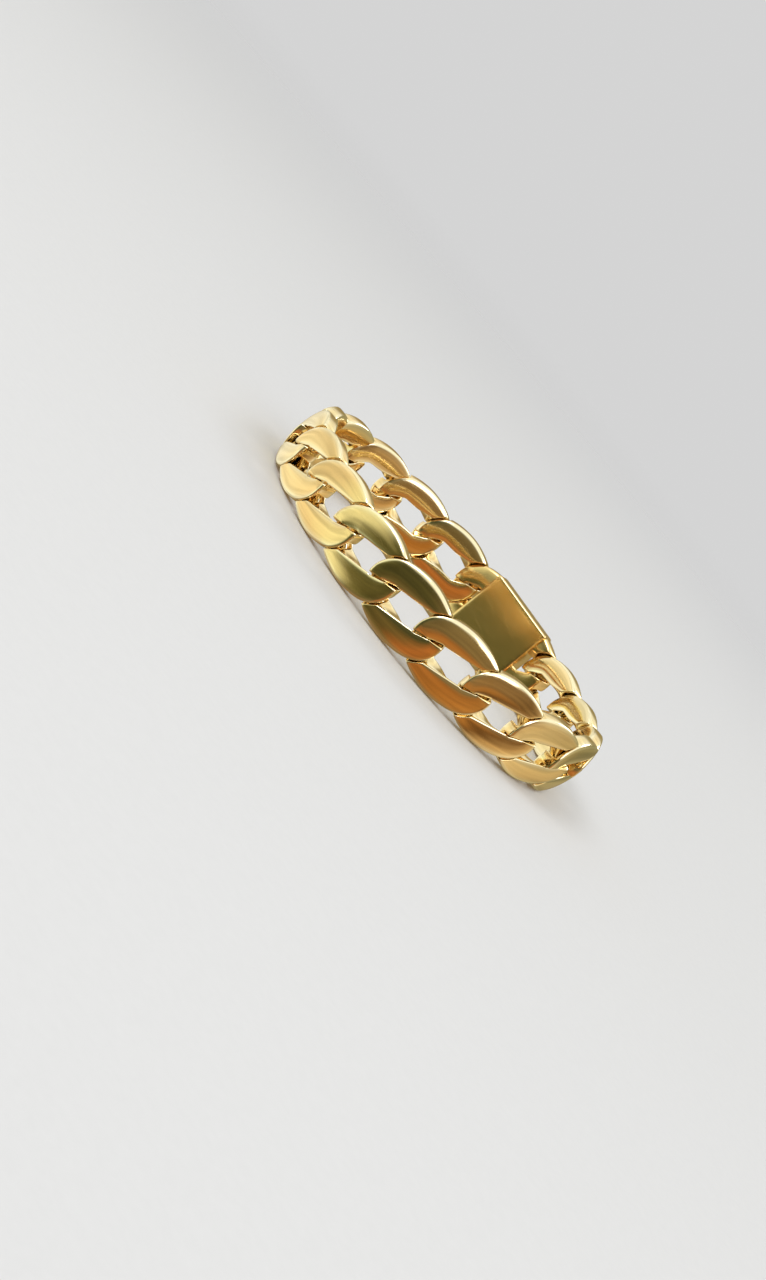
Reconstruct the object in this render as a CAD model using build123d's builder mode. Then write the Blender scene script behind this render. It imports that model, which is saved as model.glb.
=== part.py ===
"""A flat curb-link bracelet, closed into the oval that it takes when it is worn.

Interlocked links and one plain box clasp make a closed loop. The wrist passes
through along Z, the long way of the oval is X, and the origin is the middle of the
hollow. The clasp sits at the middle of the back, on the +Y side.

Every piece is modelled flat in its own frame first: X runs along the chain, Y is
the side that ends up at +Z, and Z points out of the loop. All sizes are millimetres.
"""

from build123d import *
import os
from math import radians, sqrt, tan

# Sizes of the chain
pitch = 10.7              # from one link to the next
pitches_round = 19        # length of the closed chain, counted in pitches
clasp_pitches = 2         # how many of them the clasp takes up
oval_ratio = 0.845        # short way of the oval over its long way

# Sizes of a link
link_length = 16.0
link_width = 12.0
link_thickness = 3.7
slot_width = 3.6          # between the two long leaves, at half thickness
slot_deepening = 0.8      # the slot is this much longer there than at the faces
link_gap = 0.16           # clear space left between neighbours, the straight chain
face_radius = 60.0        # of the domed outer face, about the wrist axis
rim_radius = 0.3          # rounding of the edges of both faces

# Room that lets two links turn against each other
seam_slope = 0.36         # rise of the seam between two leaf tips, along the chain
seam_relief = 0.14        # the outer face stands back this much from that seam
bend_relief = 0.42        # the inner face is this much shorter at each end
tip_fall = 8.0            # degrees, underside of a leaf's overhanging tip
throat_fall = 17.0        # degrees, underside of a leaf behind its tip

# Sizes of the clasp
clasp_thickness = 4.1
clasp_corner = 1.2
clasp_edge = 0.8
clasp_clearance = 0.7     # from the box to the tip of the link beside it

# Outline of a leaf, as shares of half the link's length and half its width
leaf_points = {
    "slot end": (-0.914, 0.482),    # where the slot meets the end of the next leaf
    "notch": (-0.68, 0.79),         # where neighbours meet at the edge of the band
    "crown": (-0.04, 1.0),          # the widest place
}

half_length = link_length / 2
half_width = link_width / 2
half_thickness = link_thickness / 2
overhang = half_length - pitch / 2     # how far a tip reaches past the joint
tip_drop = seam_slope * overhang       # how far it reaches past the centre line

# The joints lie at equal steps round an ellipse, counted from the clasp's end, and
# the ellipse is sized so that a step is one pitch long
unit_oval = EllipticalCenterArc((0, 0), 1.0, oval_ratio, 90, arc_size=360)
unit_joints = [
    unit_oval.position_at(
        (step + clasp_pitches / 2) / pitches_round * unit_oval.length, PositionMode.LENGTH
    )
    for step in range(pitches_round)
]
unit_steps = [(unit_joints[step] - unit_joints[step - 1]).length for step in range(pitches_round)]
oval_scale = pitch * pitches_round / sum(unit_steps)


def joint(number):
    """Where two pieces of the chain meet."""
    return unit_joints[number % pitches_round] * oval_scale


def seat(first, last):
    """The frame of a piece that reaches from one joint to another."""
    along = joint(last) - joint(first)
    return Plane(
        origin=(joint(first) + joint(last)) / 2,
        x_dir=along,
        z_dir=along.cross(Vector(0, 0, 1)),
    )


def outline_point(name):
    """A named point of the leaf's outline, in millimetres."""
    along, across = leaf_points[name]
    return Vector(along * half_length, across * half_width)


slot_top = outline_point("slot end").Y
notch = outline_point("notch")
crown = outline_point("crown")

# The side of a leaf is one arc over its crown, from notch to notch, and its end is a
# smaller arc that runs on from there to the tip
side_arc = ThreePointArc(notch + Vector(pitch, 0), crown, notch)
end_arc = TangentArc(notch, Vector(-half_length, -tip_drop), tangent=side_arc % 1)


def on_end_arc(y):
    """The point of the end arc at a given height."""
    centre, radius = end_arc.arc_center, end_arc.radius
    return Vector(centre.X - sqrt(radius**2 - (y - centre.Y) ** 2), y)


def neighbour_edge(y):
    """The point at a given height of the link before this one, where it passes under."""
    return Vector(-on_end_arc(y).X - pitch, y)


def leaf_outline(slot_start, slot_end_y, seam_back, end_in):
    """Closed outline of the upper leaf at one level of its thickness.

    The leaf starts at its left tip, runs along the seam to the joint, along the slot
    to the next link's tip, and back over its outer edge. Neighbours share these
    lines, so half the gap is taken off all round.
    """
    draw_in = Vector(end_in, 0)
    to_next = Vector(pitch, 0) - draw_in
    tip = on_end_arc(-tip_drop + seam_back + seam_slope * end_in) + draw_in
    seam_end = Vector(-pitch / 2, seam_back)
    slot_end = on_end_arc(slot_end_y) + to_next
    end_middle = on_end_arc((slot_end_y + notch.Y) / 2) + to_next
    with BuildSketch() as outline:
        with BuildLine():
            Polyline(tip, seam_end, slot_start, slot_end)
            ThreePointArc(slot_end, end_middle, notch + to_next)
            side = ThreePointArc(notch + to_next, crown, notch + draw_in)
            TangentArc(side @ 1, tip, tangent=side % 1)
        make_face()
        offset(amount=-link_gap / 2, kind=Kind.TANGENT, mode=Mode.REPLACE)
    return outline.sketch


# At half thickness the slot runs straight along the chain, and at both faces it is
# tilted, from the tip of one neighbour to that of the other
slot_face_end = half_length - pitch
slot_middle_start = Vector(slot_face_end - slot_deepening, slot_width / 2)
slot_face_start = Vector(slot_face_end, tip_drop + seam_relief)
middle_outline = leaf_outline(slot_middle_start, slot_width / 2, 0, 0)
outer_outline = leaf_outline(slot_face_start, slot_top, seam_relief, 0)
inner_outline = leaf_outline(slot_face_start, slot_top, 0, bend_relief)

# Under a leaf's left end lies the right end of the link before it. The space for it
# has that end's outline, and a roof that falls away to both sides of the joint.
space_reach = half_length + clasp_clearance
roof_reach = 2 * overhang
with BuildPart() as end_space:
    with BuildSketch():
        with BuildLine():
            low_edge = neighbour_edge(tip_drop)
            middle_edge = neighbour_edge((tip_drop + notch.Y) / 2)
            high_edge = neighbour_edge(notch.Y)
            outer_corner = Vector(-space_reach, seam_slope * (space_reach - pitch / 2))
            Polyline(outer_corner, Vector(-pitch / 2, 0), low_edge)
            ThreePointArc(low_edge, middle_edge, high_edge)
            Polyline(
                high_edge,
                Vector(high_edge.X, space_reach),
                Vector(-space_reach, space_reach),
                outer_corner,
            )
        make_face()
        offset(amount=link_gap / 2, kind=Kind.TANGENT, mode=Mode.REPLACE)
    extrude(amount=half_thickness, both=True)
    with BuildSketch(Plane.XZ):
        with BuildLine():
            Polyline(
                (-pitch / 2 - roof_reach, -half_thickness),
                (-pitch / 2 + roof_reach, -half_thickness),
                (-pitch / 2 + roof_reach, link_gap / 2 + roof_reach * tan(radians(throat_fall))),
                (-pitch / 2, link_gap / 2),
                (-pitch / 2 - roof_reach, link_gap / 2 + roof_reach * tan(radians(tip_fall))),
                close=True,
            )
        make_face()
    extrude(amount=link_width, both=True, mode=Mode.INTERSECT)


def leaf(face_outline, domed):
    """Half the thickness of the upper leaf, from the middle plane to one face."""
    with BuildPart() as half_leaf:
        with BuildSketch(Plane.XY):
            add(middle_outline)
        with BuildSketch(Plane.XY.offset(half_thickness)):
            add(face_outline)
        loft(ruled=True)
        if domed:
            with Locations((0, 0, half_thickness - face_radius)):
                Cylinder(
                    face_radius, 2 * link_width, rotation=(90, 0, 0), mode=Mode.INTERSECT
                )
        fillet(half_leaf.faces().sort_by(Axis.Z)[-1].edges(), rim_radius)
        add(end_space.part, mode=Mode.SUBTRACT)
    return half_leaf.part


outer_leaf = leaf(outer_outline, domed=True)
inner_leaf = leaf(inner_outline, domed=False)

# A link is two leaves on each face. Each outer leaf lies over the next link at one
# end, and each inner leaf, turned about, passes under it at the other.
with BuildPart() as flat_link:
    add(outer_leaf)
    add(outer_leaf, rotation=(0, 0, 180))
    add(inner_leaf, rotation=(0, 180, 0))
    add(inner_leaf, rotation=(180, 0, 0))

# Half a link, cut across its middle, for the ends of the clasp
with BuildPart() as clasp_end:
    add(flat_link.part)
    split(bisect_by=Plane.YZ, keep=Keep.BOTTOM)

# The clasp is a plain box that ends in half a link on each side
clasp_span = (joint(0) - joint(-clasp_pitches)).length
clasp_box_length = clasp_span - 2 * (overhang + clasp_clearance)
clasp_end_shift = (clasp_span - pitch) / 2
with BuildPart() as flat_clasp:
    with BuildSketch(Plane.XY.offset(-clasp_thickness / 2)):
        RectangleRounded(clasp_box_length, link_width, clasp_corner)
    extrude(amount=clasp_thickness)
    fillet(flat_clasp.faces().filter_by(Axis.Z).edges(), clasp_edge)
    with Locations((-clasp_end_shift, 0, 0)):
        add(clasp_end.part)
    with Locations(Location((clasp_end_shift, 0, 0), (0, 0, 180))):
        add(clasp_end.part)

os.makedirs("parts", exist_ok=True)

with BuildPart(seat(-clasp_pitches, 0)) as clasp:
    add(flat_clasp.part)
clasp.part.label = "clasp"
export_step(clasp.part, "parts/clasp.step")

for number in range(pitches_round - clasp_pitches):
    name = f"link_{number + 1:02d}"
    with BuildPart(seat(number, number + 1)) as link:
        add(flat_link.part)
    link.part.label = name
    export_step(link.part, f"parts/{name}.step")
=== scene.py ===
"""A polished curb-link bracelet in the form in which it is worn.

The links are one twisted ring, shaped here flat and in millimetres: X runs along the
chain, Y across it, and Z points out of the loop. Geometry Nodes then seat each link
between its two joints round the oval. The clasp is a plain rounded box between two
half links. The wrist passes through along Z, and +Y is the side of the clasp.
"""

from collections import namedtuple
from math import copysign, pi, radians, sqrt, tan

import bmesh
import bpy
from mathutils import Matrix, Vector


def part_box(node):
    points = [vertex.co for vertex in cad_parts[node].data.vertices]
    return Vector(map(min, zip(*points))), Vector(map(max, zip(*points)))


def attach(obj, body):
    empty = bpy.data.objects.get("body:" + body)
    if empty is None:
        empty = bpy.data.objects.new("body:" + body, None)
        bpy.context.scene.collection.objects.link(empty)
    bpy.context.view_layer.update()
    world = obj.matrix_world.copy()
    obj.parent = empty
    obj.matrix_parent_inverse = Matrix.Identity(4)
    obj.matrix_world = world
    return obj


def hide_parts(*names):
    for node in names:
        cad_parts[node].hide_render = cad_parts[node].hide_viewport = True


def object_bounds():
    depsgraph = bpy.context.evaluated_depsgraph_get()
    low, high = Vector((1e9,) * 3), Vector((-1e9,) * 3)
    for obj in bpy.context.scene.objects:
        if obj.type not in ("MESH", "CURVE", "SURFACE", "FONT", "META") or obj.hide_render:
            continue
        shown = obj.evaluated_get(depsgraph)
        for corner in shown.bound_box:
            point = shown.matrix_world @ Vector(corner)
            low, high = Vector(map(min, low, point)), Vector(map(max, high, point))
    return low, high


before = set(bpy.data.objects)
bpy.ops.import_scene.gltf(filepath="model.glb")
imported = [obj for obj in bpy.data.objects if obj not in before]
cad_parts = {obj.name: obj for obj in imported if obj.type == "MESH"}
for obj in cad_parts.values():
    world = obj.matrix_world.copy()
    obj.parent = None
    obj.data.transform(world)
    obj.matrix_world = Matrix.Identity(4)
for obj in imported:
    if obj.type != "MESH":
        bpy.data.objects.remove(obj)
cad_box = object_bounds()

MM = 0.001

# The chain, in millimetres
PITCH = 10.7
PITCHES_ROUND = 19
OVAL_RATIO = 0.845
LINK_COUNT = 17
PLAY_DEGREES = 0.3        # how far a link may lie askew

# A link, in millimetres
HALF_LENGTH = 8.0
HALF_WIDTH = 5.94
HALF_THICKNESS = 1.85
OVERHANG = HALF_LENGTH - PITCH / 2
SEAM_SLOPE = 0.36
HALF_GAP = 0.08
SEAM_BACK = 0.05          # how far a tip stands back from the seam
EDGE_RISE = 0.341         # slope of the straight inner edge of a leaf
EDGE_MIDDLE = 1.895       # and its distance from the link's middle line
RIM = 0.20                # how far the rounding of an edge reaches
RIM_LIMIT = 0.3           # but no further than this share of the width
FACE_SHARES = (0.34, 0.67)    # shares of a leaf's width at which its face has points
BACK_SHARES = (0.5,)      # and the same for its back
OUTER_WEDGE = 0.026       # growth of a link's length with height, outside its middle
INNER_WEDGE = 0.042       # and inside it, which lets the chain bend round the wrist
FACE_BEND = 60.0          # radius of the outer face along the chain
FACE_CROWN = 32.0         # radius of both faces across the chain
LEAF_CROWN = 11.0         # radius of the cushion of each leaf
WALL_BULGE = 0.03         # of the outer walls, at half thickness
SLOT_HOLLOW = 0.14        # of the slot's walls, at half thickness
UNDER_BACK = 0.16         # how far the top of an end that passes under is drawn in
TIP_FALL = 8.0
THROAT_FALL = 17.0

# The clasp, in millimetres
CLASP_THICKNESS = 4.1
CLASP_CLEARANCE = 0.7     # from the box to the tip of the link beside it
CLASP_BEND = 220.0        # radius of its outer face along the chain
CLASP_ROUNDING = 0.75     # how far from its edges the rounding starts
SHARP_DEGREES = 40        # a steeper edge of the clasp is shaded sharp

# Rounds of subdivision
LINK_ROUNDS = 2
CLASP_ROUNDS = 3

# Sockets that go by number, because a node has more than one of the same name
MIX_VECTOR_A, MIX_VECTOR_B, MIX_VECTOR = 4, 5, 1
MIX_COLOUR_A, MIX_COLOUR_B, MIX_COLOUR = 6, 7, 2
RANDOM_FLOAT = 1

# The camera, in pixels of the photograph and in millimetres
FOCAL_PIXELS = 2200
IMAGE_HEIGHT = 1280
SENSOR_HEIGHT = 24.0

# The floor, in metres
FLOOR_REACH = 1.2
FLOOR_DROP = 0.00004      # how far it lies below the lowest point of the bracelet
FADE_START = 0.16         # the floor fades into the surroundings from here
FADE_END = 0.75


def circle_through(a, b, c):
    """Centre and radius of the circle through three points of the plane."""
    d = 2 * (a.x * (b.y - c.y) + b.x * (c.y - a.y) + c.x * (a.y - b.y))
    aa, bb, cc = a.length_squared, b.length_squared, c.length_squared
    centre = Vector((
        (aa * (b.y - c.y) + bb * (c.y - a.y) + cc * (a.y - b.y)) / d,
        (aa * (c.x - b.x) + bb * (a.x - c.x) + cc * (b.x - a.x)) / d,
    ))
    return centre, (a - centre).length


# The outline before the gap is taken off: one arc round the end, from the tip over the
# shoulder to the notch, and one along the side, over the crown to the other notch
low_tip = Vector((HALF_LENGTH, -SEAM_SLOPE * OVERHANG))
shoulder = Vector((7.47, 2.89))
notch = Vector((5.44, 4.74))
crown = Vector((0.0, 6.0))
end_centre, end_radius = circle_through(low_tip, shoulder, notch)
side_centre, side_radius = circle_through(notch, crown, Vector((-notch.x, notch.y)))


def end_x(y):
    """Where the rounded end of a leaf that passes under lies, at one height across."""
    return end_centre.x + sqrt(end_radius**2 - (y - end_centre.y) ** 2) - HALF_GAP


def dive_x(y):
    """Where the face ends at the next link's rounded end, at one height across."""
    return PITCH - end_x(y) - 2 * HALF_GAP


def under_end(y):
    """The top of the rounded end that passes under, at one height across."""
    return end_x(y) - UNDER_BACK, y


def side_y(x):
    """Where the outer edge of the link lies, at one place along it."""
    return side_centre.y + sqrt(side_radius**2 - (x - side_centre.x) ** 2) - HALF_GAP


def face(x, y):
    """Height of the domed outer face, before each leaf is cushioned."""
    return HALF_THICKNESS - x * x / (2 * FACE_BEND) - y * y / (2 * FACE_CROWN)


def roof(x, y):
    """How far the leaf that passes under stays below half thickness."""
    past = abs(x) - PITCH / 2
    return HALF_GAP + abs(past) * tan(radians(TIP_FALL if past > 0 else THROAT_FALL))


def height(level, x, y):
    """Height of one of the four kinds of surface, let down by the rounding of its rim."""
    if level.kind == "face":
        return face(x, y) - level.drop
    if level.kind == "back":
        return -HALF_THICKNESS + y * y / (2 * FACE_CROWN) + level.drop
    if level.kind == "under":
        return -roof(x, y)
    return roof(x, y)


# The kind of surface, how far it is let down, and how far it stands back from the next
# link's rounded end, where a section runs along that end
Level = namedtuple("Level", "kind drop stand_back", defaults=(0.0, None))
FULL = Level("face")
SEAM_EDGE = Level("face", drop=0.6 * RIM)
DIVE_EDGE = Level("face", drop=0.4 * RIM, stand_back=0.03)
DIVE_FOOT = Level("under", stand_back=0.0)
UNDER = Level("under")
BACK = Level("back")


def seam_y(x):
    """The edge of a tip that passes over, where it lies against the next link's tip."""
    return SEAM_SLOPE * (x - PITCH / 2) - SEAM_BACK


def inner_edge(x):
    """The straight inner edge of the upper leaf on the outer face, from tip to dive."""
    return x, EDGE_MIDDLE + EDGE_RISE * x


# Cross-sections of the ring, from the middle of the upper side to the middle of the
# right end. Each has the four corners of its outline: the inner and outer edge on
# top, then the outer and inner edge below. On the way the face dives under the next
# link, and past the seam it comes up again as the tip of the lower side.
sections = [
    # top inner, top outer, top level, bottom outer, bottom inner, bottom level
    (inner_edge(0.0), (0.00, side_y(0.0)), FULL, (0.00, side_y(0.0)), inner_edge(0.0), BACK),
    (inner_edge(1.0), (1.90, side_y(1.9)), FULL, (1.90, side_y(1.9)), (0.90, 1.75), BACK),
    (inner_edge(2.1), (3.70, side_y(3.7)), FULL, (3.70, side_y(3.7)), (1.90, 1.63), BACK),
    (inner_edge(2.92), (4.88, side_y(4.88)), FULL, (4.70, side_y(4.7)), (2.70, 1.54), BACK),
    ((dive_x(2.96), 2.96), (dive_x(4.72), 4.72), DIVE_EDGE, (5.00, side_y(5.0)), (2.95, 1.49), BACK),
    ((dive_x(2.84), 2.84), (dive_x(4.68), 4.68), DIVE_FOOT, (5.30, side_y(5.3)), (3.20, 1.40), BACK),
    ((3.75, 2.00), under_end(4.0), UNDER, (end_x(4.2), 4.20), (3.72, 1.14), BACK),
    ((4.40, 1.15), under_end(3.2), UNDER, (end_x(3.4), 3.40), (4.25, 0.86), BACK),
    ((4.86, 0.68), under_end(2.3), UNDER, (end_x(2.45), 2.45), (4.70, 0.62), BACK),
    ((5.22, 0.28), under_end(1.5), UNDER, (end_x(1.6), 1.60), (5.02, 0.42), BACK),
    ((5.44, 0.02), under_end(0.98), UNDER, (end_x(1.1), 1.10), (5.20, 0.28), BACK),
    ((5.41, -0.05), (end_x(-0.80), seam_y(7.97)), SEAM_EDGE, (end_x(0.85), 0.85), (5.27, 0.20), BACK),
    ((5.38, -0.06), (end_x(-0.55), 0.58), FULL, (end_x(0.6), 0.60), (5.32, 0.13), BACK),
    ((5.36, -0.08), (end_x(0.0), 0.00), FULL, (end_x(0.0), 0.00), (5.36, 0.08), BACK),
]

OTHER_SIDE = {"face": "back", "back": "face", "under": "over", "over": "under"}


def turned(section, x_sign, y_sign):
    """The section after half a turn of the link about one of its own three axes."""
    top_in, top_out, top, low_out, low_in, low = section
    top_in, top_out, low_out, low_in = (
        (x * x_sign, y * y_sign) for x, y in (top_in, top_out, low_out, low_in)
    )
    if x_sign == y_sign:
        return top_in, top_out, top, low_out, low_in, low
    # Turned over, below becomes on top, but on top the inner edge is always straight
    flipped_top = low._replace(kind=OTHER_SIDE[low.kind])
    flipped_low = top._replace(kind=OTHER_SIDE[top.kind])
    edge_x, edge_y = inner_edge(-abs(low_in[0]))
    edge = (edge_x * y_sign, edge_y * y_sign)
    return edge, low_out, flipped_top, top_out, top_in, flipped_low


def ring_sections():
    """All the sections round the ring, by the three half turns that leave it unchanged."""
    quarter = sections[:-1]
    return (
        quarter
        + [turned(s, 1, -1) for s in reversed(sections[1:])]
        + [turned(s, -1, -1) for s in quarter]
        + [turned(s, -1, 1) for s in reversed(sections[1:])]
    )


def lengthened(x, z):
    """A link is a little longer outside than inside, as the chain is bent."""
    return x * (1 + z * (OUTER_WEDGE if z > 0 else INNER_WEDGE))


def cushion(level, off_middle):
    """How far a leaf's cushioned face has fallen, off the middle of its width."""
    side = {"face": 1, "back": -1}.get(level.kind, 0)
    return side * off_middle**2 / (2 * LEAF_CROWN)


def profile(section):
    """The points round one section, with two close to each corner to round it."""
    top_in, top_out, top, low_out, low_in, low = section
    top_in, top_out, low_out, low_in = (Vector(p) for p in (top_in, top_out, low_out, low_in))
    points = []

    def lay(start, end, level, shares):
        """Points over a face, with some at given shares of its width."""
        width = (end - start).length
        near = min(RIM / width, RIM_LIMIT)
        for share, rim in ((near, 1.0), *((s, 0.0) for s in shares), (1 - near, 1.0)):
            place = start.lerp(end, share)
            if level.stand_back is not None:
                place.x = copysign(dive_x(abs(place.y)) - level.stand_back, place.x)
            z = height(level, *place)
            z -= cushion(level, (share - 0.5) * width)
            points.append((lengthened(place.x, z), place.y, z, rim))

    def climb(start, z_start, end, z_end, bulge):
        """Points up or down a wall, which bulges outward at half its height."""
        near = min(RIM / abs(z_end - z_start), RIM_LIMIT)
        for share, rim in ((near, 1.0), (0.5, 0.0), (1 - near, 1.0)):
            place = start.lerp(end, share)
            if not rim:
                place += place.normalized() * bulge
            z = z_start + (z_end - z_start) * share
            points.append((lengthened(place.x, z), place.y, z, rim))

    top_fall = cushion(top, (top_out - top_in).length / 2)
    low_fall = cushion(low, (low_out - low_in).length / 2)
    z_top_in, z_top_out = (height(top, *place) - top_fall for place in (top_in, top_out))
    z_low_in, z_low_out = (height(low, *place) - low_fall for place in (low_in, low_out))
    lay(top_in, top_out, top, FACE_SHARES)
    climb(top_out, z_top_out, low_out, z_low_out, WALL_BULGE)
    lay(low_out, low_in, low, BACK_SHARES)
    climb(low_in, z_low_in, top_in, z_top_in, SLOT_HOLLOW)
    return points


def closed_mesh(name, vertices, faces):
    """A mesh in metres from points in millimetres, with its faces turned outward."""
    mesh = bpy.data.meshes.new(name)
    mesh.from_pydata([Vector(v) * MM for v in vertices], [], faces)
    shape = bmesh.new()
    shape.from_mesh(mesh)
    bmesh.ops.remove_doubles(shape, verts=shape.verts, dist=1e-7)
    bmesh.ops.recalc_face_normals(shape, faces=shape.faces)
    shape.to_mesh(mesh)
    shape.free()
    mesh.shade_smooth()
    return mesh


def link_cage():
    """The flat link as a ring of four-sided faces, for rounding by subdivision."""
    rings = [profile(section) for section in ring_sections()]
    count = len(rings[0])
    faces = []
    for i in range(len(rings)):
        here, there = i * count, (i + 1) % len(rings) * count
        for k in range(count):
            after = (k + 1) % count
            faces.append((here + k, here + after, there + after, there + k))
    points = [point for ring in rings for point in ring]
    mesh = closed_mesh("flat_link", [point[:3] for point in points], faces)
    rim = mesh.attributes.new("rim", "FLOAT", "POINT")
    rim.data.foreach_set("value", [point[3] for point in points])
    return mesh


def box_cage(half_sizes, margin):
    """A domed box with lines of points close to its edges, for rounding by subdivision."""
    lines = [
        (-size, -size + margin, -size / 3, size / 3, size - margin, size)
        for size in half_sizes
    ]
    vertices, faces = [], []
    for axis in range(3):
        across, up = (axis + 1) % 3, (axis + 2) % 3
        for side in (lines[axis][0], lines[axis][-1]):
            for i in range(len(lines[across]) - 1):
                for j in range(len(lines[up]) - 1):
                    corners = []
                    for di, dj in ((0, 0), (1, 0), (1, 1), (0, 1)):
                        point = Vector((0.0, 0.0, 0.0))
                        point[axis] = side
                        point[across] = lines[across][i + di]
                        point[up] = lines[up][j + dj]
                        # Only the outer face is domed, and the walls below it a little
                        fall = point.y**2 / (2 * FACE_CROWN) + point.x**2 / (2 * CLASP_BEND)
                        point.z -= fall * max(point.z, 0.0) / half_sizes[2]
                        corners.append(point)
                    faces.append(tuple(range(len(vertices), len(vertices) + 4)))
                    vertices.extend(corners)
    return closed_mesh("clasp_box", vertices, faces)


def add_node(tree, kind, place, values=None, **settings):
    """A new node at a place in a tree, with its settings and the values of its inputs."""
    made = tree.nodes.new(kind)
    made.location = place
    for name, value in settings.items():
        setattr(made, name, value)
    for name, value in (values or {}).items():
        made.inputs[name].default_value = value
    return made


def new_group(name, kind, inputs, outputs):
    """A node group with its named inputs and outputs, and nothing between them yet."""
    tree = bpy.data.node_groups.new(name, kind)
    for label, socket_type, default in inputs:
        socket = tree.interface.new_socket(label, in_out="INPUT", socket_type=socket_type)
        if default is not None:
            socket.default_value = default
    for label, socket_type in outputs:
        tree.interface.new_socket(label, in_out="OUTPUT", socket_type=socket_type)
    return tree


def socket_id(tree, name):
    """The identifier of a tree's input, which a modifier's settings go by."""
    return next(s.identifier for s in tree.interface.items_tree if s.name == name)


def seat_tree():
    """Geometry Nodes that carry a flat piece to its place between two joints of the oval."""
    tree = new_group(
        "Seat a piece round the oval",
        "GeometryNodeTree",
        [
            ("Piece", "NodeSocketGeometry", None),
            ("First Joint", "NodeSocketInt", 1),
            ("Last Joint", "NodeSocketInt", 2),
            ("Pitch", "NodeSocketFloat", PITCH * MM),
            ("Pitches Round", "NodeSocketInt", PITCHES_ROUND),
            ("Oval Ratio", "NodeSocketFloat", OVAL_RATIO),
            ("Play", "NodeSocketFloat", radians(PLAY_DEGREES)),
            ("Seed", "NodeSocketInt", 3),
            ("Finish", "NodeSocketMaterial", None),
        ],
        [("Seated Piece", "NodeSocketGeometry")],
    )
    join = tree.links.new
    given = add_node(tree, "NodeGroupInput", (-1400, 0)).outputs

    # The oval, started at the clasp and cut into equal steps
    ring = add_node(
        tree, "GeometryNodeCurvePrimitiveCircle", (-1200, 300), {"Resolution": 1440, "Radius": 1.0}
    )
    start = add_node(tree, "GeometryNodeTransform", (-1020, 300), {"Rotation": (0, 0, pi / 2)})
    join(ring.outputs["Curve"], start.inputs["Geometry"])
    flatten = add_node(tree, "ShaderNodeCombineXYZ", (-1020, 80), {"X": 1.0, "Z": 1.0})
    join(given["Oval Ratio"], flatten.inputs["Y"])
    oval = add_node(tree, "GeometryNodeTransform", (-840, 300))
    join(start.outputs["Geometry"], oval.inputs["Geometry"])
    join(flatten.outputs["Vector"], oval.inputs["Scale"])
    steps = add_node(tree, "GeometryNodeResampleCurve", (-660, 300))
    join(oval.outputs["Geometry"], steps.inputs["Curve"])
    join(given["Pitches Round"], steps.inputs["Count"])

    # Sized so that one step is one pitch
    length = add_node(tree, "GeometryNodeCurveLength", (-480, 160))
    join(steps.outputs["Curve"], length.inputs["Curve"])
    chain_length = add_node(tree, "ShaderNodeMath", (-660, 60), operation="MULTIPLY")
    join(given["Pitch"], chain_length.inputs[0])
    join(given["Pitches Round"], chain_length.inputs[1])
    size = add_node(tree, "ShaderNodeMath", (-300, 120), operation="DIVIDE")
    join(chain_length.outputs["Value"], size.inputs[0])
    join(length.outputs["Length"], size.inputs[1])

    # The two joints that the piece lies between, and the middle between them
    place = add_node(tree, "GeometryNodeInputPosition", (-480, -40))
    joints = []
    for y, index in ((-40, given["First Joint"]), (-260, given["Last Joint"])):
        sample = add_node(
            tree, "GeometryNodeSampleIndex", (-300, y), data_type="FLOAT_VECTOR", domain="POINT"
        )
        join(steps.outputs["Curve"], sample.inputs["Geometry"])
        join(place.outputs["Position"], sample.inputs["Value"])
        join(index, sample.inputs["Index"])
        scaled = add_node(tree, "ShaderNodeVectorMath", (-120, y), operation="SCALE")
        join(sample.outputs["Value"], scaled.inputs[0])
        join(size.outputs["Value"], scaled.inputs["Scale"])
        joints.append(scaled.outputs["Vector"])
    middle = add_node(tree, "ShaderNodeMix", (60, 60), {"Factor": 0.5}, data_type="VECTOR")
    join(joints[0], middle.inputs[MIX_VECTOR_A])
    join(joints[1], middle.inputs[MIX_VECTOR_B])

    # It points along the chain, with its outer face away from the wrist
    along = add_node(tree, "ShaderNodeVectorMath", (60, -160), operation="SUBTRACT")
    join(joints[1], along.inputs[0])
    join(joints[0], along.inputs[1])
    outward = add_node(tree, "ShaderNodeVectorMath", (240, -260), operation="CROSS_PRODUCT")
    join(along.outputs["Vector"], outward.inputs[0])
    outward.inputs[1].default_value = (0, 0, 1)
    turn = add_node(
        tree, "FunctionNodeAxesToRotation", (420, -160), primary_axis="Z", secondary_axis="X"
    )
    join(outward.outputs["Vector"], turn.inputs[0])
    join(along.outputs["Vector"], turn.inputs[1])

    # Each piece lies a little askew within its play
    least = add_node(tree, "ShaderNodeMath", (240, -480), operation="MULTIPLY")
    join(given["Play"], least.inputs[0])
    least.inputs[1].default_value = -1.0
    askew = add_node(tree, "FunctionNodeRandomValue", (420, -400), data_type="FLOAT_VECTOR")
    join(least.outputs["Value"], askew.inputs["Min"])
    join(given["Play"], askew.inputs["Max"])
    join(given["First Joint"], askew.inputs["ID"])
    join(given["Seed"], askew.inputs["Seed"])
    askew_turn = add_node(tree, "FunctionNodeEulerToRotation", (600, -400))
    join(askew.outputs["Value"], askew_turn.inputs["Euler"])
    lie = add_node(tree, "FunctionNodeRotateRotation", (780, -200), rotation_space="LOCAL")
    join(turn.outputs["Rotation"], lie.inputs["Rotation"])
    join(askew_turn.outputs["Rotation"], lie.inputs["Rotate By"])

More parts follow.
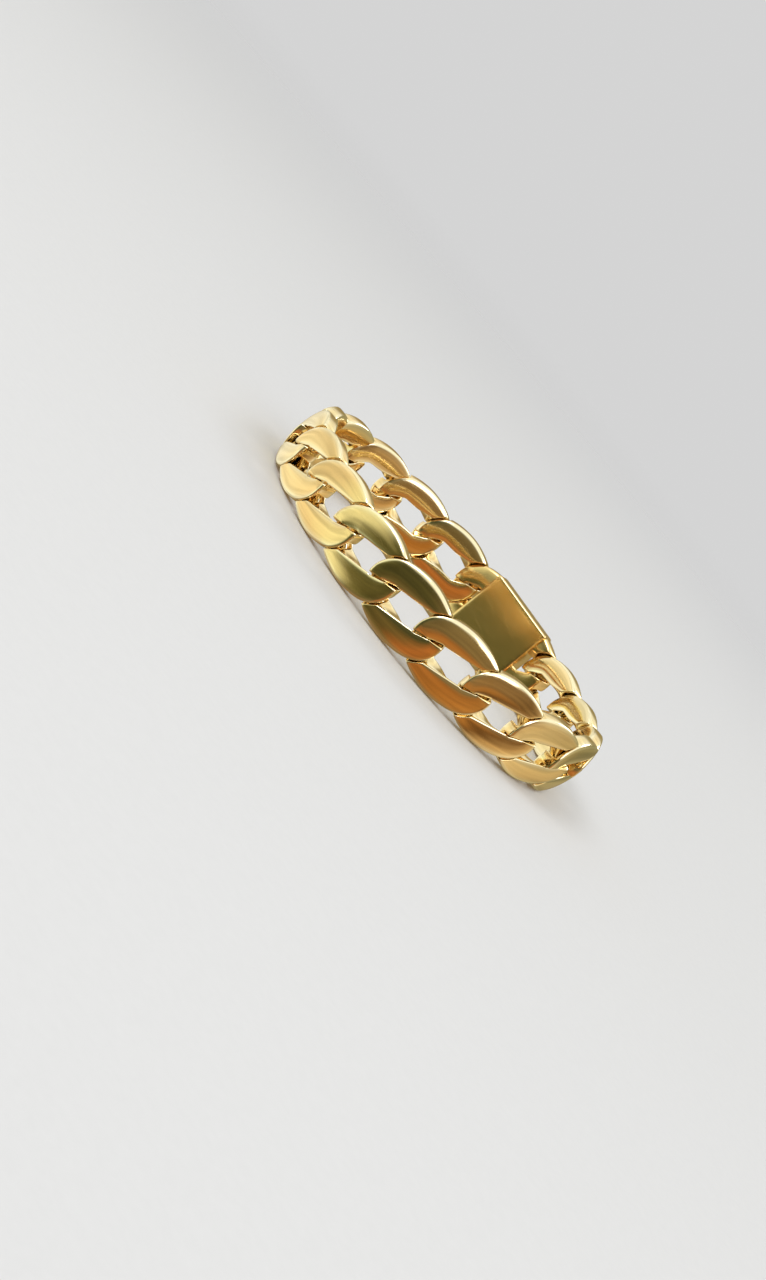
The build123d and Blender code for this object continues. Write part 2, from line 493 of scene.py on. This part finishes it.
    # The finish keeps to the flat piece, and each piece has a tone of its own
    flat_place = add_node(
        tree, "GeometryNodeStoreNamedAttribute", (420, 320), {"Name": "flat_place"},
        data_type="FLOAT_VECTOR", domain="POINT",
    )
    join(given["Piece"], flat_place.inputs["Geometry"])
    join(place.outputs["Position"], flat_place.inputs["Value"])
    tone = add_node(tree, "FunctionNodeRandomValue", (420, 520), data_type="FLOAT")
    join(given["First Joint"], tone.inputs["ID"])
    join(given["Seed"], tone.inputs["Seed"])
    toned = add_node(
        tree, "GeometryNodeStoreNamedAttribute", (680, 320), {"Name": "tone"},
        data_type="FLOAT", domain="POINT",
    )
    join(flat_place.outputs["Geometry"], toned.inputs["Geometry"])
    join(tone.outputs[RANDOM_FLOAT], toned.inputs["Value"])

    seated = add_node(tree, "GeometryNodeTransform", (960, 100))
    join(toned.outputs["Geometry"], seated.inputs["Geometry"])
    join(middle.outputs[MIX_VECTOR], seated.inputs["Translation"])
    join(lie.outputs["Rotation"], seated.inputs["Rotation"])
    real = add_node(tree, "GeometryNodeRealizeInstances", (1140, 100))
    join(seated.outputs["Geometry"], real.inputs["Geometry"])
    coated = add_node(tree, "GeometryNodeSetMaterial", (1320, 100))
    join(real.outputs["Geometry"], coated.inputs["Geometry"])
    join(given["Finish"], coated.inputs["Material"])
    done = add_node(tree, "NodeGroupOutput", (1500, 100))
    join(coated.outputs["Geometry"], done.inputs["Seated Piece"])
    return tree


def tone_group():
    """Plating that drifts between two golds, and is lighter at the edges: partly rubbed bare, partly
    a painted highlight along the rims.
    """
    tree = new_group(
        "plating tone",
        "ShaderNodeTree",
        [
            ("Place", "NodeSocketVector", None),
            ("Gold", "NodeSocketColor", (0.9, 0.7, 0.4, 1)),
            ("Deep Gold", "NodeSocketColor", (0.9, 0.6, 0.3, 1)),
            ("Rim Wear And Highlight Gold", "NodeSocketColor", (1.0, 0.85, 0.6, 1)),
            ("Patch Scale", "NodeSocketFloat", 120.0),
            ("Tone", "NodeSocketFloat", 0.5),
            ("Rim", "NodeSocketFloat", 0.0),
        ],
        [("Colour", "NodeSocketColor")],
    )
    join = tree.links.new
    given = add_node(tree, "NodeGroupInput", (-800, 0)).outputs
    patches = add_node(tree, "ShaderNodeTexNoise", (-600, 100), {"Detail": 2.0, "Roughness": 0.55})
    join(given["Place"], patches.inputs["Vector"])
    join(given["Patch Scale"], patches.inputs["Scale"])
    blend = add_node(tree, "ShaderNodeMath", (-400, 60), operation="ADD")
    join(patches.outputs["Fac"], blend.inputs[0])
    join(given["Tone"], blend.inputs[1])
    share = add_node(
        tree, "ShaderNodeMapRange", (-220, 60), {"From Min": 0.45, "From Max": 1.45}
    )
    join(blend.outputs["Value"], share.inputs["Value"])
    golds = add_node(tree, "ShaderNodeMix", (-20, 60), data_type="RGBA")
    join(share.outputs["Result"], golds.inputs["Factor"])
    join(given["Gold"], golds.inputs[MIX_COLOUR_A])
    join(given["Deep Gold"], golds.inputs[MIX_COLOUR_B])
    # The edges are painted a lighter gold: partly plating rubbed bare, partly a painted highlight
    # along the rims
    rim_wear_and_highlight = add_node(tree, "ShaderNodeMix", (180, 0), data_type="RGBA")
    join(given["Rim"], rim_wear_and_highlight.inputs["Factor"])
    join(golds.outputs[MIX_COLOUR], rim_wear_and_highlight.inputs[MIX_COLOUR_A])
    join(given["Rim Wear And Highlight Gold"], rim_wear_and_highlight.inputs[MIX_COLOUR_B])
    done = add_node(tree, "NodeGroupOutput", (380, 0))
    join(rim_wear_and_highlight.outputs[MIX_COLOUR], done.inputs["Colour"])
    return tree


def scratch_group():
    """Fine wear lines in two directions that nearly follow the chain."""
    tree = new_group(
        "fine scratches",
        "ShaderNodeTree",
        [
            ("Place", "NodeSocketVector", None),
            ("Along", "NodeSocketFloat", 200.0),
            ("Across", "NodeSocketFloat", 5000.0),
            ("Crossing Angle", "NodeSocketFloat", 0.3),
        ],
        [("Mask", "NodeSocketFloat")],
    )
    join = tree.links.new
    given = add_node(tree, "NodeGroupInput", (-1000, 0)).outputs
    stretch = add_node(tree, "ShaderNodeCombineXYZ", (-800, -160))
    join(given["Along"], stretch.inputs["X"])
    join(given["Across"], stretch.inputs["Y"])
    join(given["Across"], stretch.inputs["Z"])
    layers = []
    for y, side in ((120, 1.0), (-120, -0.6)):
        angle = add_node(tree, "ShaderNodeMath", (-800, y), operation="MULTIPLY")
        join(given["Crossing Angle"], angle.inputs[0])
        angle.inputs[1].default_value = side
        turned_place = add_node(
            tree, "ShaderNodeVectorRotate", (-600, y), rotation_type="Z_AXIS"
        )
        join(given["Place"], turned_place.inputs["Vector"])
        join(angle.outputs["Value"], turned_place.inputs["Angle"])
        drawn = add_node(tree, "ShaderNodeVectorMath", (-400, y), operation="MULTIPLY")
        join(turned_place.outputs["Vector"], drawn.inputs[0])
        join(stretch.outputs["Vector"], drawn.inputs[1])
        lines = add_node(tree, "ShaderNodeTexNoise", (-200, y), {"Scale": 1.0, "Detail": 1.0})
        join(drawn.outputs["Vector"], lines.inputs["Vector"])
        thin = add_node(tree, "ShaderNodeMapRange", (0, y), {"From Min": 0.60, "From Max": 0.74})
        join(lines.outputs["Fac"], thin.inputs["Value"])
        layers.append(thin.outputs["Result"])
    both = add_node(tree, "ShaderNodeMath", (200, 0), operation="MAXIMUM")
    join(layers[0], both.inputs[0])
    join(layers[1], both.inputs[1])
    done = add_node(tree, "NodeGroupOutput", (400, 0))
    join(both.outputs["Value"], done.inputs["Mask"])
    return tree


def polish_group():
    """The soft unevenness that polishing by hand leaves in a mirror face."""
    tree = new_group(
        "hand polish",
        "ShaderNodeTree",
        [
            ("Place", "NodeSocketVector", None),
            ("Ripple Scale", "NodeSocketFloat", 150.0),
            ("Ripple Depth", "NodeSocketFloat", 0.00002),
            ("Scratches", "NodeSocketFloat", 0.0),
            ("Scratch Depth", "NodeSocketFloat", 0.000001),
        ],
        [("Normal", "NodeSocketVector")],
    )
    join = tree.links.new
    given = add_node(tree, "NodeGroupInput", (-600, 0)).outputs
    ripple = add_node(tree, "ShaderNodeTexNoise", (-400, 120), {"Detail": 0.6})
    join(given["Place"], ripple.inputs["Vector"])
    join(given["Ripple Scale"], ripple.inputs["Scale"])
    swell = add_node(tree, "ShaderNodeBump", (-200, 120))
    join(ripple.outputs["Fac"], swell.inputs["Height"])
    join(given["Ripple Depth"], swell.inputs["Distance"])
    nick = add_node(tree, "ShaderNodeBump", (0, 0), invert=True)
    join(given["Scratches"], nick.inputs["Height"])
    join(given["Scratch Depth"], nick.inputs["Distance"])
    join(swell.outputs["Normal"], nick.inputs["Normal"])
    done = add_node(tree, "NodeGroupOutput", (200, 0))
    join(nick.outputs["Normal"], done.inputs["Normal"])
    return tree


plating_tone = tone_group()
fine_scratches = scratch_group()
hand_polish = polish_group()


def plating(name, golds, roughness, scratched, patch_scale, ripple):
    """Polished gold plating, from two golds and how far it is scratched and rippled."""
    made = bpy.data.materials.new(name)
    made.use_nodes = True
    tree = made.node_tree
    join = tree.links.new
    shader = tree.nodes["Principled BSDF"]
    shader.inputs["Metallic"].default_value = 1.0
    place = add_node(tree, "ShaderNodeAttribute", (-1000, 0), attribute_name="flat_place")
    rim = add_node(tree, "ShaderNodeAttribute", (-1000, 400), attribute_name="rim")
    tone = add_node(tree, "ShaderNodeAttribute", (-1000, 200), attribute_name="tone")
    # Squared, so that the lighter edge, part wear and part painted highlight, keeps close to the edge
    rim_wear_and_highlight_mask = add_node(tree, "ShaderNodeMath", (-800, 400), operation="POWER")
    join(rim.outputs["Fac"], rim_wear_and_highlight_mask.inputs[0])
    rim_wear_and_highlight_mask.inputs[1].default_value = 2.0

    colour = add_node(tree, "ShaderNodeGroup", (-600, 300), node_tree=plating_tone)
    colour.inputs["Patch Scale"].default_value = patch_scale
    for label, value in zip(("Gold", "Deep Gold", "Rim Wear And Highlight Gold"), golds):
        colour.inputs[label].default_value = (*value, 1)
    join(place.outputs["Vector"], colour.inputs["Place"])
    join(tone.outputs["Fac"], colour.inputs["Tone"])
    join(rim_wear_and_highlight_mask.outputs["Value"], colour.inputs["Rim"])
    join(colour.outputs["Colour"], shader.inputs["Base Color"])

    scratches = add_node(tree, "ShaderNodeGroup", (-800, 0), node_tree=fine_scratches)
    join(place.outputs["Vector"], scratches.inputs["Place"])
    dulled = add_node(tree, "ShaderNodeMath", (-400, 0), operation="MULTIPLY_ADD")
    join(scratches.outputs["Mask"], dulled.inputs[0])
    dulled.inputs[1].default_value = scratched
    dulled.inputs[2].default_value = roughness
    join(dulled.outputs["Value"], shader.inputs["Roughness"])

    surface = add_node(
        tree, "ShaderNodeGroup", (-400, -250), {"Ripple Depth": ripple}, node_tree=hand_polish
    )
    join(place.outputs["Vector"], surface.inputs["Place"])
    join(scratches.outputs["Mask"], surface.inputs["Scratches"])
    join(surface.outputs["Normal"], shader.inputs["Normal"])
    return made


def placed(name, data):
    """An object of that name in the scene."""
    made = bpy.data.objects.new(name, data)
    bpy.context.scene.collection.objects.link(made)
    return made


def finished(piece):
    """The piece with its modifiers worked out, as a plain mesh of its own."""
    graph = bpy.context.evaluated_depsgraph_get()
    mesh = bpy.data.meshes.new_from_object(piece.evaluated_get(graph), depsgraph=graph)
    name = piece.name
    bpy.data.objects.remove(piece)
    return placed(name, mesh)


def rounded(name, cage, levels):
    """A cage rounded by subdivision."""
    piece = placed(name, cage)
    rounding = piece.modifiers.new("rounding", "SUBSURF")
    rounding.levels = rounding.render_levels = levels
    return finished(piece)


def seat_piece(piece, first, last, finish, node):
    """Seat a flat piece between two joints, in the place of a node of the frame."""
    seat = piece.modifiers.new("seat", "NODES")
    seat.node_group = seat_nodes
    for name, value in (("First Joint", first), ("Last Joint", last), ("Finish", finish)):
        seat[socket_id(seat_nodes, name)] = value
    done = finished(piece)
    done.data.name = done.name
    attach(done, "root")
    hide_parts(node)


def half_links(flat_link, shift):
    """Two halves of a flat link, cut across the middle and moved apart, ends outward."""
    halves = bmesh.new()
    halves.from_mesh(flat_link)
    everything = halves.verts[:] + halves.edges[:] + halves.faces[:]
    bmesh.ops.bisect_plane(halves, geom=everything, plane_no=(1, 0, 0), clear_outer=True)
    cut = [edge for edge in halves.edges if edge.is_boundary]
    bmesh.ops.holes_fill(halves, edges=cut, sides=0)
    bmesh.ops.translate(halves, verts=halves.verts, vec=(-shift * MM, 0, 0))
    first = halves.verts[:] + halves.edges[:] + halves.faces[:]
    second = bmesh.ops.duplicate(halves, geom=first)["geom"]
    second_verts = [item for item in second if isinstance(item, bmesh.types.BMVert)]
    bmesh.ops.rotate(halves, verts=second_verts, matrix=Matrix.Rotation(pi, 3, "Z"))
    mesh = bpy.data.meshes.new("half_links")
    halves.to_mesh(mesh)
    halves.free()
    # A union would mix up the rims, so the clasp has none
    mesh.attributes.remove(mesh.attributes["rim"])
    return mesh


def make_clasp(flat_link):
    """A plain rounded box, made one with half a link at each end."""
    # The clasp lies along X, and its tips reach past the two joints that it lies between
    low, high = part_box("clasp")
    tip_reach = end_centre.x + end_radius - HALF_GAP - PITCH / 2
    span = (high[0] - low[0]) / MM - 2 * tip_reach
    half_sizes = (span / 2 - OVERHANG - CLASP_CLEARANCE, HALF_WIDTH, CLASP_THICKNESS / 2)
    ends = placed("clasp_ends", half_links(flat_link, (span - PITCH) / 2))
    box = rounded("box_clasp", box_cage(half_sizes, CLASP_ROUNDING), CLASP_ROUNDS)
    union = box.modifiers.new("union", "BOOLEAN")
    union.operation = "UNION"
    union.object = ends
    clasp = finished(box)
    bpy.data.objects.remove(ends)
    shape = bmesh.new()
    shape.from_mesh(clasp.data)
    for edge in shape.edges:
        edge.smooth = edge.is_manifold and edge.calc_face_angle() < radians(SHARP_DEGREES)
    shape.to_mesh(clasp.data)
    shape.free()
    return clasp


# The third of each set of golds is for the edges: partly rubbed plating, partly a painted highlight
link_gold = plating(
    "polished gold plating",
    golds=((0.90, 0.73, 0.40), (0.91, 0.66, 0.31), (0.97, 0.85, 0.58)),
    roughness=0.105,
    scratched=0.07,
    patch_scale=140.0,
    ripple=0.00002,
)
clasp_gold = plating(
    "gold plating of the clasp",
    golds=((0.89, 0.71, 0.38), (0.90, 0.65, 0.31), (0.96, 0.83, 0.56)),
    roughness=0.15,
    scratched=0.06,
    patch_scale=90.0,
    ripple=0.00003,
)

seat_nodes = seat_tree()
pattern_link = rounded("flat_link", link_cage(), LINK_ROUNDS)
seat_piece(make_clasp(pattern_link.data), PITCHES_ROUND - 1, 1, clasp_gold, "clasp")
for number in range(1, LINK_COUNT + 1):
    link = placed(f"curb_link_{number:02d}", pattern_link.data.copy())
    seat_piece(link, number, number + 1, link_gold, f"link_{number:02d}")
bpy.data.objects.remove(pattern_link)


def make_camera():
    """The camera at the photograph's angle."""
    # Its own axes, and where the middle of the bracelet lies along them
    right = Vector((0.52147, 0.39631, 0.75565))
    down = Vector((0.75903, 0.18911, -0.62299))
    forward = Vector((-0.38979, 0.89843, -0.20219))
    middle = Vector((9.232, -7.2743, 357.5937)) * MM
    camera = placed("camera", bpy.data.cameras.new("camera"))
    turn = Matrix((right, -down, -forward)).transposed()
    place = -(right * middle.x + down * middle.y + forward * middle.z)
    camera.matrix_world = Matrix.Translation(place) @ turn.to_4x4()
    camera.data.sensor_fit = "VERTICAL"
    camera.data.sensor_height = SENSOR_HEIGHT
    camera.data.lens = FOCAL_PIXELS / IMAGE_HEIGHT * SENSOR_HEIGHT
    camera.data.clip_start = 0.01
    bpy.context.scene.camera = camera


def make_floor():
    """A pale floor that fades into the surroundings, so that it has no horizon."""
    z = cad_box[0][2] - FLOOR_DROP
    signs = ((-1, -1), (1, -1), (1, 1), (-1, 1))
    corners = [(x * FLOOR_REACH, y * FLOOR_REACH, z) for x, y in signs]
    mesh = bpy.data.meshes.new("floor")
    mesh.from_pydata(corners, [], [(0, 1, 2, 3)])
    floor = placed("floor", mesh)
    paint = bpy.data.materials.new("pale floor")
    paint.use_nodes = True
    tree = paint.node_tree
    join = tree.links.new
    shader = tree.nodes["Principled BSDF"]
    shader.inputs["Roughness"].default_value = 0.85
    grain = add_node(tree, "ShaderNodeTexNoise", (-700, 200), {"Scale": 900.0, "Detail": 3.0})
    place = add_node(tree, "ShaderNodeTexCoord", (-900, 0))
    join(place.outputs["Object"], grain.inputs["Vector"])
    shade = add_node(tree, "ShaderNodeMix", (-400, 200), data_type="RGBA")
    shade.inputs[MIX_COLOUR_A].default_value = (0.70, 0.70, 0.695, 1)
    shade.inputs[MIX_COLOUR_B].default_value = (0.73, 0.73, 0.725, 1)
    join(grain.outputs["Fac"], shade.inputs["Factor"])
    join(shade.outputs[MIX_COLOUR], shader.inputs["Base Color"])
    distance = add_node(tree, "ShaderNodeVectorMath", (-700, -100), operation="LENGTH")
    join(place.outputs["Object"], distance.inputs[0])
    fade = add_node(
        tree, "ShaderNodeMapRange", (-500, -100),
        {"From Min": FADE_START, "From Max": FADE_END}, interpolation_type="SMOOTHSTEP",
    )
    join(distance.outputs["Value"], fade.inputs["Value"])
    clear = add_node(tree, "ShaderNodeBsdfTransparent", (-100, -200))
    mix = add_node(tree, "ShaderNodeMixShader", (150, 0))
    join(fade.outputs["Result"], mix.inputs["Fac"])
    join(shader.outputs["BSDF"], mix.inputs[1])
    join(clear.outputs["BSDF"], mix.inputs[2])
    join(mix.outputs["Shader"], tree.nodes["Material Output"].inputs["Surface"])
    floor.data.materials.append(paint)
    floor.visible_glossy = False


# What the metal mirrors: degrees round the bracelet, then the tones below and above
# the height of the horizon
SURROUNDINGS = [
    (-180, (0.96, 0.98, 0.84), (0.92, 0.90, 0.74)),
    (-150, (0.92, 0.86, 0.66), (0.90, 0.84, 0.64)),
    (-140, (1.04, 1.12, 0.86), (1.05, 1.13, 0.86)),
    (-125, (1.00, 1.06, 0.78), (0.98, 1.04, 0.76)),
    (-113, (0.17, 0.17, 0.07), (0.13, 0.135, 0.055)),
    (-100, (0.10, 0.10, 0.04), (0.07, 0.075, 0.03)),
    (-82, (0.16, 0.13, 0.055), (0.08, 0.08, 0.035)),
    (-72, (0.50, 0.20, 0.065), (0.16, 0.13, 0.065)),
    (-50, (0.42, 0.18, 0.05), (0.24, 0.18, 0.09)),
    (-28, (0.48, 0.23, 0.07), (0.30, 0.20, 0.10)),
    (-14, (0.42, 0.20, 0.06), (0.28, 0.18, 0.09)),
    (-7, (0.17, 0.085, 0.03), (0.19, 0.115, 0.05)),
    (4, (0.60, 0.42, 0.23), (0.50, 0.36, 0.20)),
    (24, (0.90, 0.78, 0.56), (0.78, 0.68, 0.48)),
    (50, (0.62, 0.52, 0.33), (0.45, 0.40, 0.24)),
    (80, (0.36, 0.32, 0.18), (0.30, 0.28, 0.15)),
    (122, (0.32, 0.24, 0.11), (0.34, 0.27, 0.13)),
    (140, (0.95, 0.93, 0.76), (1.00, 0.98, 0.82)),
    (179, (0.96, 0.98, 0.84), (0.92, 0.90, 0.74)),
]
ABOVE = (1.10, 1.12, 1.02)       # the tone overhead
BELOW = (0.30, 0.20, 0.10)       # the tone far below
BEND = (0.28, 0.28, 0.28)        # how far noise bends the directions
STREAK_SCALE = (1.6, 1.6, 13.0)  # how closely the streaks lie, most of all in height
PALE = (0.66, 0.66, 0.66)        # the background, and the light on anything dull


def tone_ramp(tree, place, side):
    """A colour ramp round the horizon, from one side of the table of surroundings."""
    ramp = add_node(tree, "ShaderNodeValToRGB", place)
    elements = ramp.color_ramp.elements
    elements.remove(elements[1])
    elements[0].position = 0.0
    elements[0].color = (*SURROUNDINGS[0][side], 1)
    for row in SURROUNDINGS[1:]:
        elements.new((row[0] + 180) / 360).color = (*row[side], 1)
    return ramp


def make_world():
    """Soft even light, and for mirror reflections the toned surroundings."""
    world = bpy.data.worlds.new("studio")
    bpy.context.scene.world = world
    world.use_nodes = True
    tree = world.node_tree
    join = tree.links.new
    tree.nodes.clear()

    # The direction, bent a little so that no tone ends in a straight line
    where = add_node(tree, "ShaderNodeTexCoord", (-1800, 0)).outputs["Generated"]
    noise = add_node(tree, "ShaderNodeTexNoise", (-1600, 200), {"Scale": 2.6, "Detail": 1.5})
    join(where, noise.inputs["Vector"])
    centred = add_node(tree, "ShaderNodeVectorMath", (-1400, 200), operation="SUBTRACT")
    join(noise.outputs["Color"], centred.inputs[0])
    centred.inputs[1].default_value = (0.5, 0.5, 0.5)
    bent = add_node(tree, "ShaderNodeVectorMath", (-1200, 100), operation="MULTIPLY_ADD")
    join(centred.outputs["Vector"], bent.inputs[0])
    bent.inputs[1].default_value = BEND
    join(where, bent.inputs[2])
    split = add_node(tree, "ShaderNodeSeparateXYZ", (-1000, 100))
    join(bent.outputs["Vector"], split.inputs["Vector"])

    # The tones round the horizon, by the angle as a share of a full turn
    azimuth = add_node(tree, "ShaderNodeMath", (-800, 200), operation="ARCTAN2")
    join(split.outputs["Y"], azimuth.inputs[0])
    join(split.outputs["X"], azimuth.inputs[1])
    share = add_node(tree, "ShaderNodeMath", (-600, 200), operation="MULTIPLY_ADD")
    join(azimuth.outputs["Value"], share.inputs[0])
    share.inputs[1].default_value = 0.5 / pi
    share.inputs[2].default_value = 0.5
    below_ramp = tone_ramp(tree, (-400, 500), 1)
    above_ramp = tone_ramp(tree, (-400, 250), 2)
    for ramp in (below_ramp, above_ramp):
        join(share.outputs["Value"], ramp.inputs["Fac"])
    tones = below_ramp.outputs["Color"]

    # The tones change with height: across the horizon, overhead and far below
    for y, colour, start, end in (
        (250, above_ramp.outputs["Color"], -0.21, -0.05),
        (0, ABOVE, 0.40, 0.58),
        (-250, BELOW, -0.65, -0.90),
    ):
        rise = add_node(tree, "ShaderNodeMapRange", (-100, y), {"From Min": start, "From Max": end})
        join(split.outputs["Z"], rise.inputs["Value"])
        blend = add_node(tree, "ShaderNodeMix", (100, y), data_type="RGBA")
        join(rise.outputs["Result"], blend.inputs["Factor"])
        join(tones, blend.inputs[MIX_COLOUR_A])
        if isinstance(colour, tuple):
            blend.inputs[MIX_COLOUR_B].default_value = (*colour, 1)
        else:
            join(colour, blend.inputs[MIX_COLOUR_B])
        tones = blend.outputs[MIX_COLOUR]

    # Long level streaks, which follow the leaves
    level = add_node(tree, "ShaderNodeVectorMath", (-400, -500), operation="MULTIPLY")
    join(bent.outputs["Vector"], level.inputs[0])
    level.inputs[1].default_value = STREAK_SCALE
    streaks = add_node(tree, "ShaderNodeTexNoise", (-200, -500), {"Scale": 1.0, "Detail": 2.0})
    join(level.outputs["Vector"], streaks.inputs["Vector"])
    strength = add_node(
        tree, "ShaderNodeMapRange", (0, -500),
        {"From Min": 0.3, "From Max": 0.7, "To Min": 0.72, "To Max": 1.22},
    )
    join(streaks.outputs["Fac"], strength.inputs["Value"])
    mirrored = add_node(tree, "ShaderNodeBackground", (350, 0))
    join(tones, mirrored.inputs["Color"])
    join(strength.outputs["Result"], mirrored.inputs["Strength"])
    pale = add_node(tree, "ShaderNodeBackground", (350, 200), {"Color": (*PALE, 1)})
    path = add_node(tree, "ShaderNodeLightPath", (350, 500))
    choose = add_node(tree, "ShaderNodeMixShader", (600, 100))
    join(path.outputs["Is Glossy Ray"], choose.inputs["Fac"])
    join(pale.outputs["Background"], choose.inputs[1])
    join(mirrored.outputs["Background"], choose.inputs[2])
    out = add_node(tree, "ShaderNodeOutputWorld", (800, 100))
    join(choose.outputs["Shader"], out.inputs["Surface"])


def make_lights():
    """Soft square lights, each aimed at the bracelet: name, place, width and power."""
    for name, place, width, power in (
        ("key", (-0.25, -0.45, 0.55), 0.30, 1.6),
        ("fill", (0.45, -0.30, 0.40), 0.35, 0.8),
        ("rear", (0.10, 0.50, 0.45), 0.25, 0.7),
    ):
        light = bpy.data.lights.new(name, "AREA")
        light.size = width
        light.energy = power
        holder = placed(name, light)
        holder.location = place
        holder.rotation_euler = (-Vector(place)).to_track_quat("-Z", "Y").to_euler()


make_camera()
make_floor()
make_world()
make_lights()
bpy.context.scene.view_settings.view_transform = "Standard"
